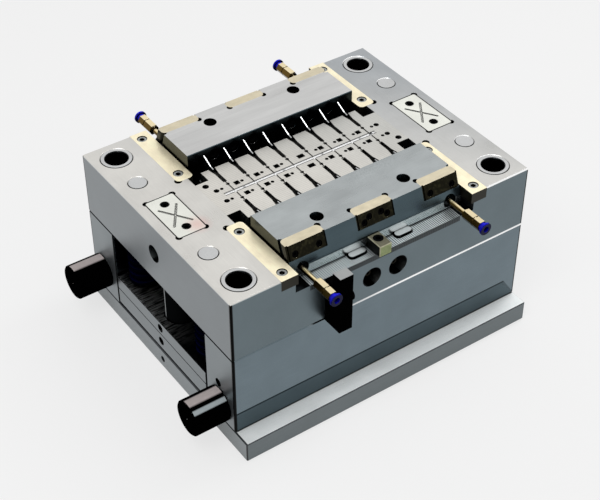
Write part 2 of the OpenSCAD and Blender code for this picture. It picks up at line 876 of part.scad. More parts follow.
module wear_pad(s) {
  color(ground) difference() {
    translate([s * pad_x, 0, z_part - pad_t]) linear_extrude(pad_t)
      round_rect(pad_w - 2 * pad_fit, pad_l - 2 * pad_fit, pad_r);
    translate([s * pad_x, 0, z_part]) for (a = [-1, 1]) rotate([0, 0, a * mark_angle])
      box(-mark_w / 2, mark_w / 2, -mark_l / 2, mark_l / 2, -mark_deep, over);
    pad_screw_places() screw_hole(pad_screw_d, pad_t, 1);
  }
}

module wear_pad_screws() {
  color(dark) pad_screw_places() translate([0, 0, -1])
    cap_screw(pad_screw_d, pad_t + pad_thread);
}

// Gib on the +X and +Y side
module gib(sx, sy) {
  r = 6;
  color(bronze) difference() {
    scale_side(sx, sy) translate([0, 0, z_gib]) linear_extrude(gib_t) union() {
      translate([gib_in, insert_hw + r]) square([gib_w, plate_w / 2 - insert_hw - r]);
      translate([gib_in + r, insert_hw]) square([gib_w - 2 * r, 2 * r]);
      for (x = [gib_in + r, gib_out - r]) translate([x, insert_hw + r]) circle(r);
    }
    gib_screw_places() screw_hole(gib_screw_d, gib_t, 1);
  }
}

module scale_side(sx, sy) {
  mirror([sx < 0 ? 1 : 0, 0, 0]) mirror([0, sy < 0 ? 1 : 0, 0]) children();
}

module gib_screws() {
  color(dark) gib_screw_places() translate([0, 0, -1]) cap_screw(gib_screw_d, gib_screw_l);
}

module obround(l, w, z0, z1) {
  translate([0, 0, z0]) linear_extrude(z1 - z0) union() {
    square([l - w, w], center = true);
    for (s = [-1, 1]) translate([s * (l - w) / 2, 0]) circle(w / 2);
  }
}

module key_pocket() {
  obround(key_l + 2 * key_room, key_w + 2 * key_room, z_floor - key_sink, z_floor + over);
  obround(key_l + 2 * run, key_w + 2 * run, z_floor - key_sink - 4, z_floor);
}

module slide_wear_plate(s) {
  color(ground) difference() {
    on_side(s) box(-wear_hl, wear_hl, wear_in, plate_w / 2, z_floor - wear_t, z_floor);
    stop_place(s) screw_hole(stop_screw_d, stop_rise + wear_t);
    for (x = [-key_x, key_x]) translate([x, s * (stop_in + key_w / 2), 0]) key_pocket();
    for (x = [-angle_hole_x, angle_hole_x]) translate([x, s * (relief_in + relief_out) / 2, 0])
      rotate([0, 0, 90])
        obround(relief_out - relief_in + relief_w, relief_w, z_floor - wear_t - over, z_floor + over);
  }
}

module slide_stop_keys() {
  color(ground) for (x = [-key_x, key_x], s = [-1, 1]) translate([x, s * (stop_in + key_w / 2), 0])
    obround(key_l, key_w, z_floor - key_sink - 4, z_floor + key_rise);
}

module slide_stop(s) {
  l = plate_w / 2 + stop_over - stop_in;
  color(steel) difference() {
    on_side(s) translate([stop_x, stop_in + l / 2, z_floor]) plate(stop_w, l, stop_rise, 1);
    stop_place(s) screw_hole(stop_screw_d, stop_rise);
  }
}

module slide_stop_screws() {
  color(dark) for (s = [-1, 1]) stop_place(s)
    cap_screw(stop_screw_d, stop_screw_l);
}

// Slides, all on the +Y side and mirrored for the front

module heel_frame() {
  translate([0, slide_out, z_slide]) rotate([heel_angle, 0, 0]) children();
}

module blade_places() {
  for (x = cavity_at) translate([x, 0, 0]) children();
}

// Side view of a core blade with its root inside the slide
module blade_outline() {
  polygon([
    [slide_in + blade_root, z_blade], [slide_in + blade_root, z_part + blade_top_in],
    [slide_in, z_part + blade_top_in], [slide_in - blade_reach + blade_flat, z_part + blade_top_tip],
    [slide_in - blade_reach, z_part + blade_top_tip - 1], [slide_in - blade_reach, z_blade]
  ]);
}

module blade() {
  translate([-blade_t / 2, 0, 0]) rotate([90, 0, 90]) linear_extrude(blade_t) blade_outline();
}

module heel_pocket() {
  heel_frame() {
    box(-heel_w / 2, heel_w / 2, -heel_t, over, -heel_l, heel_l);
    for (s = [-1, 1]) translate([s * (heel_w / 2 - 1.5), -heel_t + 1.5, -heel_l])
      cylinder(r = 4, h = 2 * heel_l);
  }
}

module heel_plate() {
  r = 6;
  intersection() {
    heel_frame() translate([0, 0, -heel_l]) linear_extrude(2 * heel_l) union() {
      translate([-heel_w / 2, -heel_t + r]) square([heel_w, heel_t - r - 1.5]);
      translate([-heel_w / 2 + r, -heel_t]) square([heel_w - 2 * r, heel_t]);
      for (s = [-1, 1]) translate([s * (heel_w / 2 - r), -heel_t + r]) circle(r);
      for (s = [-1, 1]) translate([s * (heel_w / 2 - r) - r / 2, -1.6]) square([r, 1.6]);
    }
    box(-heel_w, heel_w, 0, plate_w, 0, z_slide);
  }
}

// Screws across the heel plates: two low ones, and two high ones more in the middle plate
module heel_screw_places(middle) {
  high = middle ? [[-heel_high_x, -heel_high_z], [heel_high_x, -heel_high_z]] : [];
  low = [for (s = [-1, 1]) [s * heel_low_x, heel_low_z - heel_l]];
  for (p = concat(low, high)) heel_frame() translate([p[0], 0, p[1]]) rotate([-90, 0, 0]) children();
}

module slide_body() {
  difference() {
    union() {
      translate([-half_slide, 0, 0]) rotate([90, 0, 90]) linear_extrude(slide_l) polygon([
        [slide_in, z_floor], [foot_y - foot_c, z_floor], [foot_y, z_floor + foot_c],
        [foot_y, z_foot], [slide_out, z_slide],
        [slide_in + 0.8, z_slide], [slide_in, z_slide - 0.8]
      ]);
      half_guide = half_slide + shoulder_w;
      box(-half_guide, half_guide, slide_in, foot_y - foot_c, z_floor, z_floor + gib_shoulder_h);
    }
    for (s = [-1, 1]) {
      translate([s * angle_hole_x, angle_hole_y, z_slide]) rotate([pin_angle, 0, 0])
        cylinder(d = angle_hole_d, h = 4 * (z_slide - z_floor), center = true);
      translate([s * hose_x, foot_y, z_hose]) rotate([90, 0, 0]) {
        translate([0, 0, -over]) cylinder(d = spot_d, h = spot_depth + over);
        cylinder(d = thread_d + 2 * run, h = spot_depth + thread_l);
        cylinder(d = duct_d, h = foot_y - slide_in - duct_end);
      }
    }
    inner_screw_places() screw_hole(inner_screw_d, inner_screw_l + 2, 1);
    blade_places() blade();
    for (x = [-heel_x, 0, heel_x]) translate([x, 0, 0]) heel_pocket();
    for (x = [-heel_x, 0, heel_x]) translate([x, 0, 0])
      heel_screw_places(x == 0) screw_hole(heel_screw_d, heel_screw_l + hole_end, 1);
  }
}

module inner_screw_places() {
  for (p = inner_pads) translate([p, slide_in, z_slide - inner_screw_drop]) rotate([90, 0, 0])
    children();
}

module slide(s) {
  color(steel) on_side(s) slide_body();
}

module core_blades(s) {
  color(ground) on_side(s) blade_places() blade();
}

module heel_plates(s) {
  color(bronze) on_side(s) for (x = [-heel_x, 0, heel_x]) translate([x, 0, 0]) difference() {
    heel_plate();
    heel_screw_places(x == 0) screw_hole(heel_screw_d, heel_screw_l + hole_end, 1);
  }
}

// Screws of the heel plates, and those in the slide's inner face
module slide_screws(s) {
  color(dark) on_side(s) {
    for (x = [-heel_x, 0, heel_x]) translate([x, 0, 0])
      heel_screw_places(x == 0) translate([0, 0, -1]) cap_screw(heel_screw_d, heel_screw_l);
    inner_screw_places() translate([0, 0, -1]) cap_screw(inner_screw_d, inner_screw_l);
  }
}

// Push in hose fittings with their release rings, on the +Y side

cap_start = stem_l + hex_l + waist_l;
cap_end = cap_start + cap_l;
ring_start = cap_end + ring_push + loose;

module hose_axis(sx) {
  translate([sx * hose_x, foot_y, z_hose]) rotate([-90, 0, 0]) children();
}

module hose_fitting(sx, sy) {
  color(brass) on_side(sy) hose_axis(sx) difference() {
    union() {
      post(thread_d, -spot_depth - thread_l, -spot_depth);
      post(stem_d, -spot_depth - thread_l, stem_l + over);
      post(hex_af - 1, stem_l - 1, cap_end);
      translate([0, 0, stem_l]) cylinder(d = hex_d(hex_af), h = hex_l, $fn = 6);
      translate([0, 0, cap_start]) cylinder(d = hex_d(hex_af), h = cap_l - 2.5, $fn = 6);
    }
    post(stem_bore, -spot_depth - thread_l - over, cap_end + over);
    post(ring_neck_d + 2 * loose, cap_end - ring_neck_l - ring_seat, cap_end + over);
    post(hose_d + 0.4, cap_end - ring_neck_l - ring_seat - hose_seat, cap_end + over);
  }
}

module release_ring(sx, sy) {
  color(blue) on_side(sy) hose_axis(sx) difference() {
    union() {
      post(ring_neck_d, cap_end - ring_neck_l + ring_push, ring_start + over);
      post(ring_d - 1.5, ring_start, ring_start + ring_flange);
      post(ring_d, ring_start + ring_c, ring_start + ring_flange - ring_c);
    }
    post(hose_d + 0.2, cap_end - ring_neck_l, ring_start + ring_flange + over);
  }
}

// Feet, latch block and cooling nipples

module foot_place(s) {
  translate([-base_l / 2, s < 0 ? -spacer_y : spacer_y + foot_rear_out, s < 0 ? foot_z : foot_rear_z])
    rotate([0, -90, 0]) children();
}

module mould_foot(s) {
  color(dark) foot_place(s) difference() {
    union() {
      post(foot_d - 2 * foot_edge, 0, foot_l);
      post(foot_d, foot_edge, foot_l - foot_edge);
      cylinder(d1 = foot_d - 2 * foot_edge, d2 = foot_d, h = foot_edge);
      translate([0, 0, foot_l - foot_edge])
        cylinder(d1 = foot_d, d2 = foot_d - 2 * foot_edge, h = foot_edge);
      post(foot_pin_d - 2 * run, -foot_pin_l, 1);
    }
    post(foot_dot, foot_l - foot_dot, foot_l + over);
  }
}

module latch_block() {
  y1 = -plate_w / 2;
  y0 = y1 - latch_out;
  color(dark) difference() {
    union() {
      box(latch_x, latch_x + latch_w, y0, y1, z_floor - latch_down, z_floor);
      box(latch_x, latch_x + latch_w, y0, y1 - latch_step, z_floor - 1, z_floor + latch_up);
    }
    latch_screw_places() screw_hole(latch_screw_d, latch_out, 1);
    latch_plug_place() post(plug_pin_d + 2 * run, -plug_pin_l - 1, over);
  }
}

module latch_plug_place() {
  translate([latch_x + latch_w, -plate_w / 2 - plug_y, plug_z]) rotate([0, 90, 0]) children();
}

module latch_plug() {
  color(steel) latch_plug_place() difference() {
    union() {
      cylinder(d = plug_d, h = plug_l - 1);
      cylinder(d = plug_d - 2, h = plug_l);
      post(plug_pin_d, -plug_pin_l, 1);
    }
    translate([0, 0, plug_l / 2]) cylinder(d = plug_hex, h = plug_l, $fn = 6);
  }
}

module latch_block_screws() {
  color(dark) latch_screw_places() translate([0, 0, -1]) cap_screw(latch_screw_d, latch_out);
}

module cooling_nipples() {
  color(brass) for (x = port_x) translate([x, -plate_w / 2 + port_depth, z_port]) rotate([90, 0, 0])
    difference() {
      union() {
        cylinder(d = hex_d(nipple_hex), h = nipple_hex_l, $fn = 6);
        post(nipple_d, 0, nipple_l);
        post(barb_d, nipple_l - barb_end - barb_l, nipple_l - barb_end);
        post(channel_d - 2 * run, -nipple_thread, 1);
      }
      post(nipple_bore, -nipple_thread - over, nipple_l + over);
    }
}

bottom_clamp_plate();
spacer_block(-1);  // spacer_block_front
spacer_block(1);  // spacer_block_rear
moving_plate();
clamp_screws();
spacer_screws();
guide_bush(-1, -1);  // guide_bush_front_left
guide_bush(1, -1);  // guide_bush_front_right
guide_bush(-1, 1);  // guide_bush_rear_left
guide_bush(1, 1);  // guide_bush_rear_right
support_pillars();
stop_buttons();
ejector_guide_pins();
ejector_guide_bushes();
ejector_plate();
ejector_retainer_plate();
ejector_plate_screws();
return_pins();
return_springs();
ejector_pins();
runner_pins();
core_insert(-1);  // core_insert_front
core_insert(1);  // core_insert_rear
core_insert_screws();
wear_pad(-1);  // wear_pad_left
wear_pad(1);  // wear_pad_right
wear_pad_screws();
gib(-1, -1);  // gib_front_left
gib(1, -1);  // gib_front_right
gib(-1, 1);  // gib_rear_left
gib(1, 1);  // gib_rear_right
gib_screws();
slide_wear_plate(-1);  // slide_wear_plate_front
slide_wear_plate(1);  // slide_wear_plate_rear
slide_stop_keys();
slide_stop(-1);  // slide_stop_front
slide_stop(1);  // slide_stop_rear
slide_stop_screws();
slide(-1);  // slide_front
slide(1);  // slide_rear
core_blades(-1);  // core_blades_front
core_blades(1);  // core_blades_rear
heel_plates(-1);  // heel_plates_front
heel_plates(1);  // heel_plates_rear
slide_screws(-1);  // slide_screws_front
slide_screws(1);  // slide_screws_rear
hose_fitting(-1, -1);  // hose_fitting_front_left
hose_fitting(1, -1);  // hose_fitting_front_right
hose_fitting(-1, 1);  // hose_fitting_rear_left
hose_fitting(1, 1);  // hose_fitting_rear_right
release_ring(-1, -1);  // release_ring_front_left
release_ring(1, -1);  // release_ring_front_right
release_ring(-1, 1);  // release_ring_rear_left
release_ring(1, 1);  // release_ring_rear_right
mould_foot(-1);  // mould_foot_front
mould_foot(1);  // mould_foot_rear
latch_block();
latch_plug();
latch_block_screws();
cooling_nipples();
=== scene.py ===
"""Looks for the moving half of an injection mould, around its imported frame. Metres, +Z up."""

import math

import bmesh
import bpy
from mathutils import Matrix, Vector


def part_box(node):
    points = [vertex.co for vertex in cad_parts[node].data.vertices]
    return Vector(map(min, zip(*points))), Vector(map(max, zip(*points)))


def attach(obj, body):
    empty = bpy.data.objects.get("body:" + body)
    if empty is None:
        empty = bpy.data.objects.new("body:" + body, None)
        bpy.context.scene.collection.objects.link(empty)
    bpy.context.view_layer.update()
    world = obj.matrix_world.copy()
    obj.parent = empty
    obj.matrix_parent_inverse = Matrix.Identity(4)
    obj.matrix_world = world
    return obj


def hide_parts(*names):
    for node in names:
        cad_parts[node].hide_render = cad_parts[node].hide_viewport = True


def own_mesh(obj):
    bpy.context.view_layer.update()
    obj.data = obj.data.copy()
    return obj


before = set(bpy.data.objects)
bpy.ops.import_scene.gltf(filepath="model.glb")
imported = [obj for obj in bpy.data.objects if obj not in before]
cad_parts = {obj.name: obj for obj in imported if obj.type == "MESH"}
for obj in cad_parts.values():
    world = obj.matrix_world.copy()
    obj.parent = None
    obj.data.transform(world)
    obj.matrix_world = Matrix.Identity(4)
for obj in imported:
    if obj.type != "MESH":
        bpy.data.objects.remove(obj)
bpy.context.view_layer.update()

MM = 0.001

# Colour of floor and backdrop, the share of it that the floor glows with, and the sky's light
STUDIO_GREY = "#F5F5F5"
FLOOR_GLOW = 0.75
SKY_LIGHT = 0.6
# Half the floor's width, and how far the floor lies below the part
FLOOR_REACH = 12
FLOOR_GAP = 0.2 * MM
# Height that the lamps face, about the middle of the part
LAMP_AIM = 0.15

# Distance between neighbouring core blades
BLADE_PITCH = 30 * MM
# Distance between grooves across a wear plate, and between cutter lines on the core pads
GROOVE_PITCH = 2.8 * MM
CUTTER_PITCH = 3.2 * MM
# The main runner's middle along X, and how far it reaches from there both ways
RUNNER_MIDDLE = -3 * MM
RUNNER_REACH = 117 * MM
# Middle of the smear of spotting ink on the parting face, and how far it spreads
INK_X = -178 * MM
INK_Y = -30 * MM
INK_SPREAD = 22 * MM
# Steepness of the slanted end of the flange's painted reflection on the spacers
REFLECTION_SLANT = 1.46

# Wire of the return springs: width, height and outer diameter, coils, and steps in a coil
WIRE_WIDTH = 8 * MM
WIRE_HEIGHT = 4.5 * MM
SPRING_D = 44 * MM
SPRING_COILS = 8
COIL_STEPS = 24

# Radius that every edge seems rounded by, and how far the painted shade of small corners and wide
# hollows reaches
EDGE_ROUND = 0.3 * MM
CORNER_REACH = 5 * MM
HOLLOW_REACH = 70 * MM
# How much a tool's marks lighten or darken a face, and how much patches change its roughness
MARK_SWING = 0.12
ROUGH_SWING = 0.03

# Levels and faces that the frame gives
plate_low, plate_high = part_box("moving_plate")
clamp_low, clamp_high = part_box("bottom_clamp_plate")
wear_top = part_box("slide_wear_plate_front")[1].z


def linear(text):
    """An sRGB hex value as the linear colour that a shader takes."""
    parts = [int(text[i : i + 2], 16) / 255 for i in (1, 3, 5)]
    return [c / 12.92 if c <= 0.04045 else ((c + 0.055) / 1.055) ** 2.4 for c in parts] + [1]


def add(owner, kind, links=None, **settings):
    """A node of that kind in a material or world, with its settings by name and its inputs, by
    name or number, linked or set."""
    node = owner.node_tree.nodes.new(kind)
    for name, value in settings.items():
        setattr(node, name, value)
    for key, value in (links or {}).items():
        if isinstance(value, bpy.types.NodeSocket):
            owner.node_tree.links.new(value, node.inputs[key])
        else:
            node.inputs[key].default_value = value
    return node


# Camera


def make_camera():
    """The photograph's view, solved from the corners of the plates."""
    azimuth, elevation, distance = math.radians(-34.989), math.radians(40.156), 1.8057
    aim = Vector((-0.0367, -0.0432, 0.140))
    back = Vector(
        (
            math.sin(azimuth) * math.cos(elevation),
            -math.cos(azimuth) * math.cos(elevation),
            math.sin(elevation),
        )
    )
    right = Vector((math.cos(azimuth), math.sin(azimuth), 0))
    up = back.cross(right)
    camera = bpy.data.objects.new("camera", bpy.data.cameras.new("camera"))
    camera.data.sensor_width = 36
    camera.data.lens = 84.07
    camera.data.clip_start = 0.05
    camera.data.clip_end = 50
    turn = Matrix((right, up, back)).transposed().to_4x4()
    camera.matrix_world = Matrix.Translation(aim + back * distance) @ turn
    bpy.context.scene.collection.objects.link(camera)
    bpy.context.scene.camera = camera


# Floor, backdrop and light


def pale(owner, lit, share):
    """That share of the studio's grey for camera, reflections and glass, and lit for the rest."""
    path = add(owner, "ShaderNodeLightPath").outputs
    seen = path["Is Camera Ray"]
    for ray in ("Is Glossy Ray", "Is Transmission Ray"):
        seen = add(owner, "ShaderNodeMath", {0: seen, 1: path[ray]}, operation="MAXIMUM").outputs[0]
    shown = add(owner, "ShaderNodeMath", {0: seen, 1: share}, operation="MULTIPLY")
    kind = "ShaderNodeBackground" if lit.type == "BACKGROUND" else "ShaderNodeEmission"
    glow = add(owner, kind, {"Color": linear(STUDIO_GREY)})
    parts = {0: shown.outputs[0], 1: lit.outputs[0], 2: glow.outputs[0]}
    return add(owner, "ShaderNodeMixShader", parts).outputs[0]


def make_floor():
    """Pale studio floor that keeps a faint shadow, as a sheet lit from below does."""
    mesh = bpy.data.meshes.new("studio_floor")
    square = ((-1, -1), (1, -1), (1, 1), (-1, 1))
    corners = [(x * FLOOR_REACH, y * FLOOR_REACH, 0) for x, y in square]
    mesh.from_pydata(corners, [], [(0, 1, 2, 3)])
    floor = bpy.data.objects.new("studio_floor", mesh)
    floor.location.z = clamp_low.z - FLOOR_GAP
    bpy.context.scene.collection.objects.link(floor)
    paper = bpy.data.materials.new("pale_paper")
    paper.use_nodes = True
    surface = paper.node_tree.nodes["Principled BSDF"]
    surface.inputs["Base Color"].default_value = linear(STUDIO_GREY)
    surface.inputs["Roughness"].default_value = 0.9
    surface.inputs["Specular IOR Level"].default_value = 0.1
    out = paper.node_tree.nodes["Material Output"]
    paper.node_tree.links.new(pale(paper, surface, FLOOR_GLOW), out.inputs["Surface"])
    mesh.materials.append(paper)


def make_world():
    """Background of the same pale grey, and a soft even light from all round."""
    world = bpy.data.worlds.new("studio")
    bpy.context.scene.world = world
    world.use_nodes = True
    world.node_tree.nodes.clear()
    sky = {"Color": linear("#FFFFFF"), "Strength": SKY_LIGHT}
    light = add(world, "ShaderNodeBackground", sky)
    add(world, "ShaderNodeOutputWorld", {"Surface": pale(world, light, 1)})


def make_lamp(name, place, size, watts):
    """Soft box of that width and length that faces the mould's middle."""
    lamp = bpy.data.objects.new(name, bpy.data.lights.new(name, "AREA"))
    lamp.data.shape = "RECTANGLE"
    lamp.data.size, lamp.data.size_y = size
    lamp.data.energy = watts
    lamp.location = place
    aim = Vector((0, 0, LAMP_AIM)) - Vector(place)
    lamp.rotation_mode = "QUATERNION"
    lamp.rotation_quaternion = aim.to_track_quat("-Z", "Y")
    bpy.context.scene.collection.objects.link(lamp)


make_camera()
make_floor()
make_world()
make_lamp("key_box", place=(-1.2, -0.6, 2.2), size=(1.2, 1.2), watts=14)
make_lamp("strip_box", place=(0.8, 0.0, 1.7), size=(0.3, 1.3), watts=8)


# Patterns, each a mask for where one colour shows


def measure(material):
    """The values that masks read on a material's faces, by name.

    spot is the place on the part, x, y and z its parts, and off_x and off_y its distance from the
    middle planes. turn is the direction of a curved face. flat is that of the true facet, right
    and up its parts along +X and +Z, and across and along those along X and Y either way.
    """
    place = add(material, "ShaderNodeTexCoord").outputs
    spot = add(material, "ShaderNodeSeparateXYZ", {"Vector": place["Object"]}).outputs
    flat = add(material, "ShaderNodeNewGeometry").outputs["True Normal"]
    facing = add(material, "ShaderNodeSeparateXYZ", {"Vector": flat}).outputs
    at = {"spot": place["Object"], "turn": place["Normal"], "flat": flat}
    at |= {"x": spot["X"], "y": spot["Y"], "z": spot["Z"], "right": facing["X"], "up": facing["Z"]}
    signed = {"off_x": spot["X"], "off_y": spot["Y"], "across": facing["X"], "along": facing["Y"]}
    for name, value in signed.items():
        at[name] = add(material, "ShaderNodeMath", {0: value}, operation="ABSOLUTE").outputs[0]
    return at


def within(material, limits, soft=0.3 * MM, mask=None):
    """Mask of the places whose values all lie between their limits, each a value, a low and a
    high. It fades over soft to both sides of each limit, and multiplies the given mask."""
    for value, low, high in limits:
        for edge, side in ((low, soft), (high, -soft)):
            if edge is None:
                continue
            step = {"Value": value, "From Min": edge - side, "From Max": edge + side}
            step = add(material, "ShaderNodeMapRange", step).outputs[0]
            if mask is not None:
                both = {0: step, 1: mask}
                step = add(material, "ShaderNodeMath", both, operation="MULTIPLY").outputs[0]
            mask = step
    return mask


def parting_face(material, at):
    """The moving plate's ground top, and not the pocket floors under it."""
    return within(material, [(at["z"], plate_high.z - MM, None)], 0.2 * MM)


def far_face(material, at):
    """The parting face towards the rear right, painted darker as shade, as it sends less light to
    the front.
    """
    away = add(material, "ShaderNodeMath", {0: at["x"], 1: at["y"]}, operation="ADD")
    face = parting_face(material, at)
    return within(material, [(away.outputs[0], 135 * MM, None)], 195 * MM, face)


def flange(material, at):
    """The clamp plate's ledges in front of and behind the spacers, painted near white as lit."""
    mask = 1.0
    for value, edge in ((at["off_y"], plate_high.y), (at["z"], clamp_high.z - 1.5 * MM)):
        past = add(material, "ShaderNodeMath", {0: value, 1: edge}, operation="GREATER_THAN")
        both = {0: past.outputs[0], 1: mask}
        mask = add(material, "ShaderNodeMath", both, operation="MULTIPLY").outputs[0]
    level = [(at["x"], clamp_low.x + 2 * MM, None), (at["up"], 0.9, None)]
    return within(material, level, mask=mask)


def corner_line(material, at):
    """Black line of painted shade down the plates' upright edges."""
    ends = (at["off_x"], plate_high.x - 3 * MM, None)
    sides = (at["off_y"], plate_high.y - 3 * MM, None)
    return within(material, [ends, sides])


def lit_joint(material, at):
    """Front and rear chamfers at the joints of the plates, which catch the light towards +X."""
    side = add(material, "ShaderNodeMath", {0: at["along"], 1: 0.5}, operation="GREATER_THAN")
    chamfer = within(material, [(at["along"], None, 0.8)], 0.05, side.outputs[0])
    return within(material, [(at["x"], -55 * MM, None)], 65 * MM, chamfer)


def red_ink(material, at):
    """Spotting ink, rubbed thin round the left pad's nearer screw."""
    off = {0: at["spot"], 1: (INK_X, INK_Y, plate_high.z)}
    off = add(material, "ShaderNodeVectorMath", off, operation="DISTANCE")
    fade = {"Value": off.outputs["Value"], "From Min": INK_SPREAD, "From Max": 0, "To Max": 0.4}
    return add(material, "ShaderNodeMapRange", fade, interpolation_type="SMOOTHSTEP").outputs[0]


def flange_reflection_band(rise):
    """Pattern for a painted reflection of the flange, a dark band up the spacers from the flange to
    that height in millimetres, with a level upper edge and a slanted right end."""

    def mask(material, at):
        slant = {0: at["x"], 1: REFLECTION_SLANT, 2: at["z"]}
        slant = add(material, "ShaderNodeMath", slant, operation="MULTIPLY_ADD")
        limits = [
            (at["along"], 0.9, None),
            (at["z"], None, clamp_high.z + rise * MM),
            (slant.outputs[0], None, plate_high.x * REFLECTION_SLANT + clamp_high.z),
        ]
        return within(material, limits)

    return mask


def base_line(material, at):
    """Black line where the spacers stand on the flange."""
    return within(material, [(at["z"], None, clamp_high.z + 2 * MM)])


def spacer_end(material, at):
    """The spacers' left ends, without the black line down the corner, kept pale round the feet as
    painted light thrown off them.
    """
    clean = {0: 1.0, 1: corner_line(material, at)}
    clean = add(material, "ShaderNodeMath", clean, operation="SUBTRACT").outputs[0]
    return within(material, [(at["right"], None, -0.9)], mask=clean)


def daylight(material, at):
    """Painted light in streaks on the retainer plate near the open end, where light still reaches.
    """
    stretch = add(material, "ShaderNodeMapping", {"Vector": at["spot"], "Scale": (60, 400, 60)})
    streaks = add(material, "ShaderNodeTexNoise", {"Vector": stretch.outputs[0], "Scale": 1})
    mask = within(material, [(at["up"], 0.9, None)])
    mask = within(material, [(at["x"], None, plate_low.x + 35 * MM)], 25 * MM, mask)
    mask = within(material, [(at["y"], -20 * MM, None)], 40 * MM, mask)
    return within(material, [(streaks.outputs[0], 0.475, None)], 0.125, mask)


def pad_rim(material, at):
    """Wide dark line round each wear pad, along its edges."""
    low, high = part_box("wear_pad_right")
    rim = 1.3 * MM
    limits = [(at["off_x"], low.x + rim, high.x - rim), (at["off_y"], None, high.y - rim)]
    inside = within(material, limits, 0.2 * MM)
    return add(material, "ShaderNodeMath", {0: 1.0, 1: inside}, operation="SUBTRACT").outputs[0]


def edge_line(radius):
    """Pattern for a dark line along every edge."""

    def mask(material, at):
        rounded = add(material, "ShaderNodeBevel", {"Radius": radius * MM}, samples=8)
        same = {0: rounded.outputs[0], 1: at["flat"]}
        same = add(material, "ShaderNodeVectorMath", same, operation="DOT_PRODUCT")
        return within(material, [(same.outputs["Value"], None, 0.9915)], 0.0065)

    return mask


def cutter_lines(material, at):
    """Fine lines that a cutter leaves across the core pads, drawn coarse enough to show."""
    turns = {0: at["y"], 1: 2 * math.pi / CUTTER_PITCH}
    turns = add(material, "ShaderNodeMath", turns, operation="MULTIPLY")
    wave = add(material, "ShaderNodeMath", {0: turns.outputs[0]}, operation="SINE")
    crests = {"Value": wave.outputs[0], "From Min": 0.6, "From Max": 0.95, "To Max": 0.4}
    return add(material, "ShaderNodeMapRange", crests).outputs[0]


def runner_bed(material, at):
    """Bed of the main runner, painted white over all the shade as a highlight, between the painted
    shade of its lips.
    """
    limits = [(at["off_y"], None, 2.4 * MM), (at["z"], None, plate_high.z - 0.5 * MM)]
    return within(material, limits, 0.1 * MM)


def runner_lip(material, at):
    """Dark lines of painted shade along both sides of the main runner."""
    along = {0: at["x"], 1: -RUNNER_MIDDLE}
    along = add(material, "ShaderNodeMath", along, operation="ADD")
    along = add(material, "ShaderNodeMath", {0: along.outputs[0]}, operation="ABSOLUTE")
    limits = [(along.outputs[0], None, RUNNER_REACH), (at["off_y"], 1.8 * MM, 2.9 * MM)]
    return within(material, limits, 0.1 * MM)


def blade_flanks(material, at):
    """Both sides of each blade's back, painted dark so that only a thin painted highlight stays
    along its middle.
    """
    shifted = add(material, "ShaderNodeMath", {0: at["x"], 1: BLADE_PITCH / 2}, operation="ADD")
    off = {0: shifted.outputs[0], 1: BLADE_PITCH / 2}
    off = add(material, "ShaderNodeMath", off, operation="PINGPONG")
    return within(material, [(off.outputs[0], 0.55 * MM, None)], 0.15 * MM)


def speckle(material, at):
    """Fine rust bloom on the front slide's back, right of its middle."""
    fine = {"Vector": at["spot"], "Scale": 700, "Detail": 3, "Roughness": 0.7}
    fine = add(material, "ShaderNodeTexNoise", fine)
    area = [
        (at["x"], 5 * MM, 80 * MM),
        (at["y"], -94 * MM, None),
        (at["z"], 258.5 * MM, None),
    ]
    spread = within(material, area, 12 * MM)
    grains = {"Value": fine.outputs[0], "From Min": 0.48, "From Max": 0.6, "To Max": 0.6}
    grains = add(material, "ShaderNodeMapRange", grains)
    both = {0: grains.outputs[0], 1: spread}
    return add(material, "ShaderNodeMath", both, operation="MULTIPLY").outputs[0]


def slide_foot(material, at):
    """Lower face of the slide's foot below the locking slope, painted bright as lit."""
    return within(
        material, [(at["along"], 0.95, None), (at["z"], wear_top + 2 * MM, wear_top + 14 * MM)]
    )


def slide_seam(material, at):
    """Painted shadow in a line where the slide's foot meets the wear plate."""
    return within(material, [(at["z"], None, wear_top + 2 * MM)])


def cross_grooves(material, at):
    """Oil grooves milled across the wear plate, a little uneven."""
    stretch = add(material, "ShaderNodeMapping", {"Vector": at["spot"], "Scale": (120, 6, 6)})
    sway = add(material, "ShaderNodeTexNoise", {"Vector": stretch.outputs[0], "Scale": 1})
    shift = add(material, "ShaderNodeMath", {0: sway.outputs[0], 1: 4.0}, operation="MULTIPLY")
    turns = {0: at["x"], 1: 2 * math.pi / GROOVE_PITCH, 2: shift.outputs[0]}
    turns = add(material, "ShaderNodeMath", turns, operation="MULTIPLY_ADD")
    wave = add(material, "ShaderNodeMath", {0: turns.outputs[0]}, operation="SINE")
    return within(material, [(wave.outputs[0], 0.2, None)], 0.3)


def latch_lip(material, at):
    """Top of the latch's stop lip, where the black oxide is rubbed off."""
    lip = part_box("latch_block")[1].z - MM
    return within(material, [(at["z"], lip, None), (at["up"], 0.9, None)])


def rub_marks(material, at):
    """Blotches of oil and bare bronze on the upright faces that the locking heels rub."""
    blots = {"Vector": at["spot"], "Scale": 220, "Detail": 4, "Roughness": 0.65}
    blots = add(material, "ShaderNodeTexNoise", blots)
    upright = within(material, [(at["along"], 0.6, None)])
    return within(material, [(blots.outputs[0], 0.59, None)], 0.09, upright)


def glint(direction, low, high):
    """Pattern for a painted sheen on a curved face, where it turns in that direction."""

    def mask(material, at):
        turned = {0: at["turn"], 1: direction}
        turned = add(material, "ShaderNodeVectorMath", turned, operation="DOT_PRODUCT")
        sheen = {"Value": turned.outputs["Value"], "From Min": low, "From Max": high}
        return add(material, "ShaderNodeMapRange", sheen).outputs[0]

    return mask


def low_sheen(material, at):
    """Painted reflection in a faint second streak on the front foot, turned towards the floor's
    edge.
    """
    streak = glint((0, -0.59, 0.81), 0.99, 0.998)(material, at)
    return within(material, [(at["y"], None, 0)], mask=streak)


# Materials


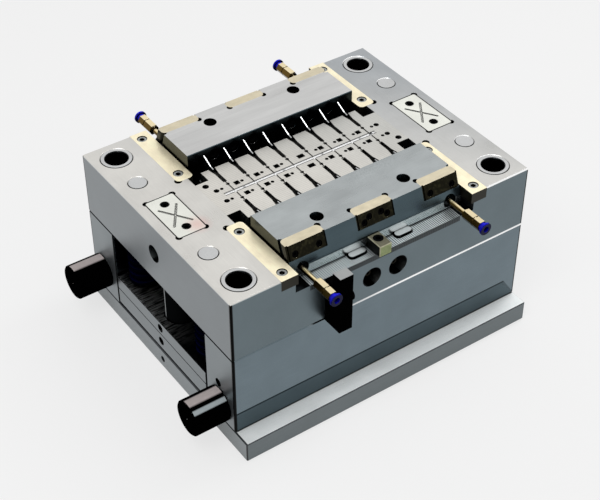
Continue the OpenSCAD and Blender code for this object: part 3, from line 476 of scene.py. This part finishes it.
def face_colour(material, at, tones, is_end, is_top, patterns):
    """Colour of each face by its direction, partly its finish and partly painted light and shade,
    with the patterns over it.
    """
    front = tones["front"]
    slope = tones.get("slope", front)
    slopes = {"Factor": is_end, "A": linear(slope), "B": linear(tones.get("slope_end", slope))}
    sloping = add(material, "ShaderNodeMix", slopes, data_type="RGBA")
    sides = {0: at["across"], 1: at["along"]}
    between = add(material, "ShaderNodeMath", sides, operation="MINIMUM").outputs[0]
    is_corner = within(material, [(between, 0.4, None)], 0.1)
    is_slope = within(material, [(at["up"], 0.2, None)], 0.1)
    layers = [
        (is_end, linear(tones.get("end", front))),
        (is_corner, linear(tones.get("corner", front))),
        (is_slope, sloping.outputs["Result"]),
        (is_top, linear(tones["top"])),
    ]
    layers += [(pattern(material, at), linear(paint)) for pattern, paint in patterns]
    colour = linear(front)
    for mask, paint in layers:
        over = {"Factor": mask, "A": colour, "B": paint}
        colour = add(material, "ShaderNodeMix", over, data_type="RGBA").outputs["Result"]
    return colour


def machined(
    name,
    tones,
    grain,
    depth,
    rough,
    metallic=1.0,
    specular=0.5,
    tight_shade=0.6,
    hollow=(0.08, 0.42, 0.15),
    clouds=(45, 45, 45, 0.06),
    patterns=(),
    painted_light=None,
):
    """Metal whose ground upper faces, milled sides and chamfers each keep their own tone.

    tones gives the colours of faces that look up (top), along Y (front), along X (end), half up
    (slope, and slope_end towards X) and of the upright chamfers between two sides (corner); these
    tones are partly the finish and partly painted light and shade. grain is the spacing in
    millimetres of the tool's marks along X, Y and Z, depth their height in millimetres, and rough
    the roughness of top, front and end. dirt is painted shade that darkens tight corners, and
    hollow gives the two openness values between which painted shade darkens a hollow, and how dark
    it gets. clouds is the size of uneven patches along X, Y and Z in millimetres, and their
    strength. Each of patterns is a function for a mask and the colour that shows there, and
    polished is one whose colour is painted over all the shade as painted light.
    """
    material = bpy.data.materials.new(name)
    material.use_nodes = True
    tree = material.node_tree
    surface = tree.nodes["Principled BSDF"]
    at = measure(material)
    is_end = within(material, [(at["across"], 0.625, None)], 0.075)
    is_top = within(material, [(at["up"], 0.91, None)], 0.05)
    colour = face_colour(material, at, tones, is_end, is_top, patterns)

    noises = []
    for size, detail, roughness in ((grain, 3, 0.6), (clouds[:3], 5, 0.55)):
        scale = [1 / (length * MM) for length in size]
        stretch = add(material, "ShaderNodeMapping", {"Vector": at["spot"], "Scale": scale})
        noise = {"Vector": stretch.outputs[0], "Scale": 1, "Detail": detail, "Roughness": roughness}
        noises.append(add(material, "ShaderNodeTexNoise", noise).outputs[0])
    marks, patches = noises
    # Painted shade: tight corners and wide hollows darken by how closed in they are
    tight = add(material, "ShaderNodeAmbientOcclusion", {"Distance": CORNER_REACH}, samples=6)
    wide = add(material, "ShaderNodeAmbientOcclusion", {"Distance": HOLLOW_REACH}, samples=6)
    shade = 1.0
    for value, low, high, dark, bright in (
        (marks, 0, 1, 1 - MARK_SWING, 1 + MARK_SWING),
        (patches, 0.3, 0.7, 1 - clouds[3], 1 + clouds[3]),
        (tight.outputs["AO"], 0.15, 0.7, 1 - tight_shade, 1),
        (wide.outputs["AO"], hollow[0], hollow[1], hollow[2], 1),
    ):
        layer = {"Value": value, "From Min": low, "From Max": high}
        layer |= {"To Min": dark, "To Max": bright}
        both = {0: shade, 1: add(material, "ShaderNodeMapRange", layer).outputs[0]}
        shade = add(material, "ShaderNodeMath", both, operation="MULTIPLY").outputs[0]
    colour = {0: colour, "Scale": shade}
    colour = add(material, "ShaderNodeVectorMath", colour, operation="SCALE").outputs[0]
    # Painted light: where this mask shows, its colour covers all the painted shade
    if painted_light:
        pattern, paint = painted_light
        shine = {"Factor": pattern(material, at), "A": colour, "B": linear(paint)}
        colour = add(material, "ShaderNodeMix", shine, data_type="RGBA").outputs["Result"]
    tree.links.new(colour, surface.inputs["Base Color"])

    rub = {"Value": patches, "From Min": 0.3, "From Max": 0.7}
    rub |= {"To Min": -ROUGH_SWING, "To Max": ROUGH_SWING}
    rub = add(material, "ShaderNodeMapRange", rub)
    side = {"Value": is_end, "To Min": rough[1], "To Max": rough[2]}
    side = add(material, "ShaderNodeMapRange", side)
    base = {"Value": is_top, "To Min": side.outputs[0], "To Max": rough[0]}
    base = add(material, "ShaderNodeMapRange", base)
    worn = {0: base.outputs[0], 1: rub.outputs[0]}
    worn = add(material, "ShaderNodeMath", worn, operation="ADD")
    tree.links.new(worn.outputs[0], surface.inputs["Roughness"])

    edge = add(material, "ShaderNodeBevel", {"Radius": EDGE_ROUND}, samples=3)
    bump = {"Height": marks, "Strength": 1, "Distance": depth * MM, "Normal": edge.outputs[0]}
    bump = add(material, "ShaderNodeBump", bump)
    tree.links.new(bump.outputs[0], surface.inputs["Normal"])
    surface.inputs["Metallic"].default_value = metallic
    surface.inputs["Specular IOR Level"].default_value = specular
    return material


# Plate steel, ground on top and milled on the sides, with painted shade on the sides, the pocket
# floors and the upright corners
plate_steel = machined(
    "ground_plate_steel",
    {
        "top": "#1E2224",
        "front": "#69757A",
        "end": "#84898C",
        "slope": "#A4ACAE",
        "slope_end": "#C2C6C6",
        "corner": "#040505",
    },
    grain=(0.6, 40, 0.6),
    depth=0.003,
    rough=(0.3, 0.34, 0.34),
    hollow=(0.12, 0.45, 0.04),
    patterns=[
        (corner_line, "#040505"),
        (parting_face, "#D9D7D2"),
        (far_face, "#ABAFB2"),
        (red_ink, "#E89A90"),
        (lit_joint, "#FFFFFF"),
    ],
)
# Spacer steel: the same stock with ground sides, with a painted reflection of the flange where they
# meet it
spacer_steel = machined(
    "ground_spacer_steel",
    {
        "top": "#1E2224",
        "front": "#6C7980",
        "end": "#8F9599",
        "slope": "#66737A",
        "slope_end": "#1A1D1F",
        "corner": "#040505",
    },
    grain=(60, 60, 0.6),
    depth=0.001,
    rough=(0.3, 0.14, 0.45),
    patterns=[
        (flange_reflection_band(31), "#18252A"),
        (flange_reflection_band(28.5), "#4A575D"),
        (base_line, "#020303"),
        (corner_line, "#040505"),
        (lit_joint, "#FFFFFF"),
    ],
    painted_light=(spacer_end, "#8B9194"),
)
# Clamp plate steel, ground to a satin, its upper faces painted near black as shade and the flange
# near white as lit
clamp_steel = machined(
    "satin_clamp_steel",
    {
        "top": "#0C0E0F",
        "front": "#656E71",
        "end": "#7E8588",
        "slope": "#2A3034",
        "corner": "#1A1D1F",
    },
    grain=(50, 0.6, 0.6),
    depth=0.003,
    rough=(0.5, 0.34, 0.34),
    metallic=0.15,
    patterns=[(flange, "#FBFFFF")],
)
# Ejector plates, rough ground, painted dark as shade away from the open ends and light in streaks
# near them
ejector_steel = machined(
    "shaded_ejector_steel",
    {
        "top": "#24282A",
        "front": "#1E2224",
        "end": "#7E8487",
        "slope": "#1A1D1F",
        "slope_end": "#0A0B0C",
    },
    grain=(30, 1.2, 1.2),
    depth=0.004,
    rough=(0.3, 0.3, 0.34),
    hollow=(0.25, 0.62, 0.03),
    patterns=[(daylight, "#F0F2F2")],
)
# Hardened wear pads, fine ground to a warm pale grey, with a dark line round them and their sides
# painted near black as shade
pad_steel = machined(
    "fine_ground_pads",
    {"top": "#EBECE4", "front": "#0A0B0C", "slope": "#1A1B1C"},
    grain=(1.2, 1.2, 1.2),
    depth=0.001,
    rough=(0.34, 0.3, 0.3),
    metallic=0.8,
    patterns=[(red_ink, "#E89A90"), (edge_line(2), "#050505"), (pad_rim, "#050505")],
)
# Hardened steel of pins and bushes, turned and ground to a fine sheen
pin_steel = machined(
    "hardened_pin_steel",
    {"top": "#C9CACA", "front": "#4A4E50", "slope": "#1C1E1F"},
    grain=(2, 2, 0.4),
    depth=0.002,
    rough=(0.28, 0.2, 0.2),
)
# Pillars and guide pins inside the box, painted near black as shade, with a thin painted highlight
pillar_steel = machined(
    "shaded_pillar_steel",
    {"top": "#0C0D0E", "front": "#0A0B0C", "slope": "#060707"},
    grain=(2, 2, 0.4),
    depth=0.002,
    rough=(0.2, 0.3, 0.3),
    metallic=0.0,
    specular=0.0,
    hollow=(0.1, 0.5, 0.1),
    patterns=[(glint((-0.95, 0.3, 0), 0.985, 0.998), "#B8BCBC")],
)
# Core steel: ground pads with a pale satin, spark eroded slots below painted dark as shade, and
# painted light and shade along the runner
core_steel = machined(
    "core_steel",
    {"top": "#D8D5CE", "front": "#1A1D1E", "slope": "#7A8081", "corner": "#1A1D1E"},
    grain=(0.6, 10, 0.6),
    depth=0.003,
    rough=(0.36, 0.3, 0.3),
    metallic=0.6,
    tight_shade=0.9,
    patterns=[(far_face, "#AEB1AF"), (cutter_lines, "#A09F9B"), (runner_lip, "#2A2D2E")],
    painted_light=(runner_bed, "#FFFFFF"),
)
# Core blades, ground, with a painted highlight along the middle of each back
blade_steel = machined(
    "polished_blade_steel",
    {
        "top": "#D6D8D8",
        "front": "#4A4E50",
        "end": "#101213",
        "slope": "#D2D4D4",
        "slope_end": "#2A2E30",
    },
    grain=(4, 4, 4),
    depth=0.001,
    rough=(0.22, 0.2, 0.2),
    metallic=0.7,
    patterns=[(blade_flanks, "#141617")],
)
# Slide steel, ground lengthwise, bluer than the plates, with its locking slope painted dark as
# shade
slide_tones = {
    "top": "#ACB1B2",
    "front": "#4E5B61",
    "end": "#35372B",
    "slope": "#4A585E",
    "corner": "#1A1D1F",
}
slide_steel = machined(
    "slide_steel",
    slide_tones,
    grain=(70, 0.7, 0.7),
    depth=0.004,
    rough=(0.28, 0.24, 0.24),
    tight_shade=0.97,
    clouds=(70, 40, 20, 0.12),
    patterns=[(speckle, "#6E7678"), (slide_foot, "#DDE6E7"), (slide_seam, "#020202")],
)
# Rear slide, painted brighter on its back as lit and near black on its inner face as shade
rear_slide_steel = machined(
    "rear_slide_steel",
    slide_tones | {"top": "#CBCBCA", "front": "#20272A"},
    grain=(70, 0.7, 0.7),
    depth=0.004,
    rough=(0.3, 0.24, 0.24),
    tight_shade=0.97,
    clouds=(110, 12, 12, 0.08),
)
# Wear plate with cross grooves that hold grease
groove_steel = machined(
    "grooved_wear_steel",
    {"top": "#CBD3D4", "front": "#0A0C0D", "slope": "#0A0C0D"},
    grain=(1.2, 60, 1.2),
    depth=0.003,
    rough=(0.36, 0.3, 0.3),
    metallic=0.5,
    tight_shade=0.9,
    patterns=[(cross_grooves, "#3C464A")],
)
# Black oxide on screws and blocks, oily and deep black
oxide = machined(
    "black_oxide",
    {"top": "#0C0D0E", "front": "#020202", "slope": "#0A0A0B"},
    grain=(1.5, 1.5, 1.5),
    depth=0.003,
    rough=(0.4, 0.4, 0.4),
    metallic=0.0,
    specular=0.0,
    tight_shade=0.4,
)
# The latch's black oxide, with its stop lip rubbed grey
latch_oxide = machined(
    "rubbed_latch_oxide",
    {"top": "#050505", "front": "#020202", "slope": "#050505"},
    grain=(1.5, 1.5, 1.5),
    depth=0.003,
    rough=(0.5, 0.5, 0.5),
    metallic=0.0,
    specular=0.0,
    tight_shade=0.4,
    patterns=[(latch_lip, "#A4A6A6")],
)
# Steel of the cap screws, dull grey, with the sides and socket painted near black as shade
screw_steel = machined(
    "dull_screw_steel",
    {"top": "#A2A5A4", "front": "#0C0D0D", "slope": "#3A3D3E"},
    grain=(1, 1, 1),
    depth=0.002,
    rough=(0.36, 0.4, 0.4),
    metallic=0.8,
    tight_shade=0.95,
)
# Gloss black enamel on the feet, with a painted highlight along its crown and a painted streak on
# the front foot
enamel = machined(
    "black_enamel",
    {"top": "#010101", "front": "#010101"},
    grain=(5, 5, 5),
    depth=0.0005,
    rough=(0.2, 0.2, 0.2),
    metallic=0.0,
    specular=0.0,
    tight_shade=0.2,
    patterns=[
        (glint((0, 0.05, 0.999), 0.945, 0.975), "#BDB3B1"),
        (low_sheen, "#A9B2B5"),
    ],
)
# Pale aluminium bronze of the gibs, ground lengthwise, its sides and ends painted dark olive as
# shade
gib_bronze = machined(
    "pale_bronze",
    {
        "top": "#FFF4D4",
        "front": "#1E1C10",
        "end": "#1A190E",
        "slope": "#8E8658",
        "corner": "#1A190E",
    },
    grain=(0.7, 30, 0.7),
    depth=0.003,
    rough=(0.4, 0.4, 0.4),
    metallic=0.6,
    clouds=(14, 22, 30, 0.09),
)
# The stop blocks' bronze, olive green in front, with its top painted darker and its ends black as
# shade
stop_bronze = machined(
    "green_bronze",
    {
        "top": "#6C6A5A",
        "front": "#8A946A",
        "end": "#060604",
        "slope": "#A9A68E",
        "corner": "#A9A68E",
    },
    grain=(0.7, 0.7, 0.7),
    depth=0.003,
    rough=(0.4, 0.4, 0.4),
    metallic=0.5,
    specular=0.1,
    clouds=(5, 5, 5, 0.2),
)
# Heel plate bronze, greyer on top, its sides and slopes painted near black as shade, blotched where
# it rubs on the locking heels
heel_bronze = machined(
    "rubbed_bronze",
    {
        "top": "#D8CEB4",
        "front": "#14130E",
        "end": "#0D0D0A",
        "slope": "#1B1A13",
        "corner": "#0D0D0A",
    },
    grain=(20, 0.8, 0.8),
    depth=0.004,
    rough=(0.36, 0.16, 0.2),
    clouds=(16, 10, 10, 0.08),
    patterns=[(rub_marks, "#333122")],
)
# Free turned brass of the fittings, painted bright above as lit and dark below as shade
brass = machined(
    "turned_brass",
    {
        "top": "#F2E2BA",
        "front": "#3E2F14",
        "end": "#4A3A1A",
        "slope": "#D9C48E",
        "slope_end": "#5E4A22",
    },
    grain=(3, 0.4, 3),
    depth=0.003,
    rough=(0.2, 0.2, 0.2),
    tight_shade=0.8,
)
# Nipples deep in the cooling ports, painted dark as shade
nipple_brass = machined(
    "shaded_nipple_brass",
    {"top": "#3A2E18", "front": "#1E1A10"},
    grain=(2, 2, 2),
    depth=0.003,
    rough=(0.3, 0.3, 0.3),
    tight_shade=0.9,
)
# Blue acetal of the release rings, moulded with a soft gloss, painted bright on top as a highlight
# and near black in front as shade
blue_acetal = machined(
    "blue_acetal",
    {"top": "#1E1ED2", "front": "#020230", "end": "#0A0A78", "slope": "#1414B0"},
    grain=(4, 4, 4),
    depth=0.001,
    rough=(0.3, 0.3, 0.3),
    metallic=0.0,
    specular=0.1,
    tight_shade=0.95,
)
# Dark blue enamel that marks the springs' load, painted near black as shade inside the box
spring_enamel = machined(
    "blue_spring_enamel",
    {"top": "#0A0E44", "front": "#010208"},
    grain=(4, 4, 4),
    depth=0.001,
    rough=(0.4, 0.4, 0.4),
    metallic=0.0,
    specular=0.0,
    hollow=(0.3, 0.8, 0.02),
)


def make_springs():
    """Return springs in their pockets, wound from square wire in one piece, in place of the
    CAD springs, and carried with the mould base."""
    low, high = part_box("return_springs")
    length = high.z - low.z
    steps = SPRING_COILS * COIL_STEPS
    rise = (length - WIRE_HEIGHT) / steps
    wire = bmesh.new()
    for x, y in ((-1, -1), (-1, 1), (1, -1), (1, 1)):
        middle = Vector((x * (high.x - SPRING_D / 2), y * (high.y - SPRING_D / 2), 0))
        outer = middle.x + SPRING_D / 2
        section = [
            wire.verts.new((across, middle.y, up))
            for across, up in (
                (outer, low.z),
                (outer - WIRE_WIDTH, low.z),
                (outer - WIRE_WIDTH, low.z + WIRE_HEIGHT),
                (outer, low.z + WIRE_HEIGHT),
            )
        ]
        end = wire.faces.new(section)
        bmesh.ops.spin(
            wire,
            geom=[end],
            cent=middle,
            axis=(0, 0, 1),
            dvec=(0, 0, rise),
            angle=SPRING_COILS * 2 * math.pi,
            steps=steps,
            use_merge=False,
        )
    bmesh.ops.recalc_face_normals(wire, faces=wire.faces)
    mesh = bpy.data.meshes.new("return_spring_coils")
    wire.to_mesh(mesh)
    wire.free()
    mesh.materials.append(spring_enamel)
    coils = bpy.data.objects.new("return_spring_coils", mesh)
    bpy.context.scene.collection.objects.link(coils)
    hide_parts("return_springs")
    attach(coils, "mould_base")
    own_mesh(coils)


make_springs()

# Each finish, and what the names of its nodes start with
FINISHES = {
    plate_steel: ["moving_plate"],
    spacer_steel: ["spacer_block"],
    clamp_steel: ["bottom_clamp_plate"],
    ejector_steel: ["ejector_plate", "ejector_retainer_plate"],
    pad_steel: ["wear_pad_left", "wear_pad_right"],
    pin_steel: ["guide_bush", "return_pins", "ejector_pins", "runner_pins", "slide_stop_keys"],
    pillar_steel: ["support_pillars", "stop_buttons", "ejector_guide_pins"],
    core_steel: ["core_insert_front", "core_insert_rear"],
    blade_steel: ["core_blades"],
    slide_steel: ["slide_front"],
    rear_slide_steel: ["slide_rear"],
    groove_steel: ["slide_wear_plate"],
    oxide: [
        "clamp_screws",
        "spacer_screws",
        "ejector_plate_screws",
        "core_insert_screws",
        "wear_pad_screws",
        "slide_stop_screws",
        "slide_screws",
        "latch_block_screws",
        "latch_plug",
    ],
    latch_oxide: ["latch_block"],
    screw_steel: ["gib_screws"],
    enamel: ["mould_foot"],
    gib_bronze: ["gib_front", "gib_rear", "ejector_guide_bushes"],
    stop_bronze: ["slide_stop_front", "slide_stop_rear"],
    heel_bronze: ["heel_plates"],
    brass: ["hose_fitting"],
    nipple_brass: ["cooling_nipples"],
    blue_acetal: ["release_ring"],
    spring_enamel: ["return_springs"],
}


def dress_nodes():
    """Gives each CAD node the finish whose longest listed name its own name starts with."""
    finish_of = {start: finish for finish, starts in FINISHES.items() for start in starts}
    for name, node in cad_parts.items():
        longest = max((start for start in finish_of if name.startswith(start)), key=len)
        node.data.materials.clear()
        node.data.materials.append(finish_of[longest])


dress_nodes()

bpy.context.scene.view_settings.view_transform = "Standard"
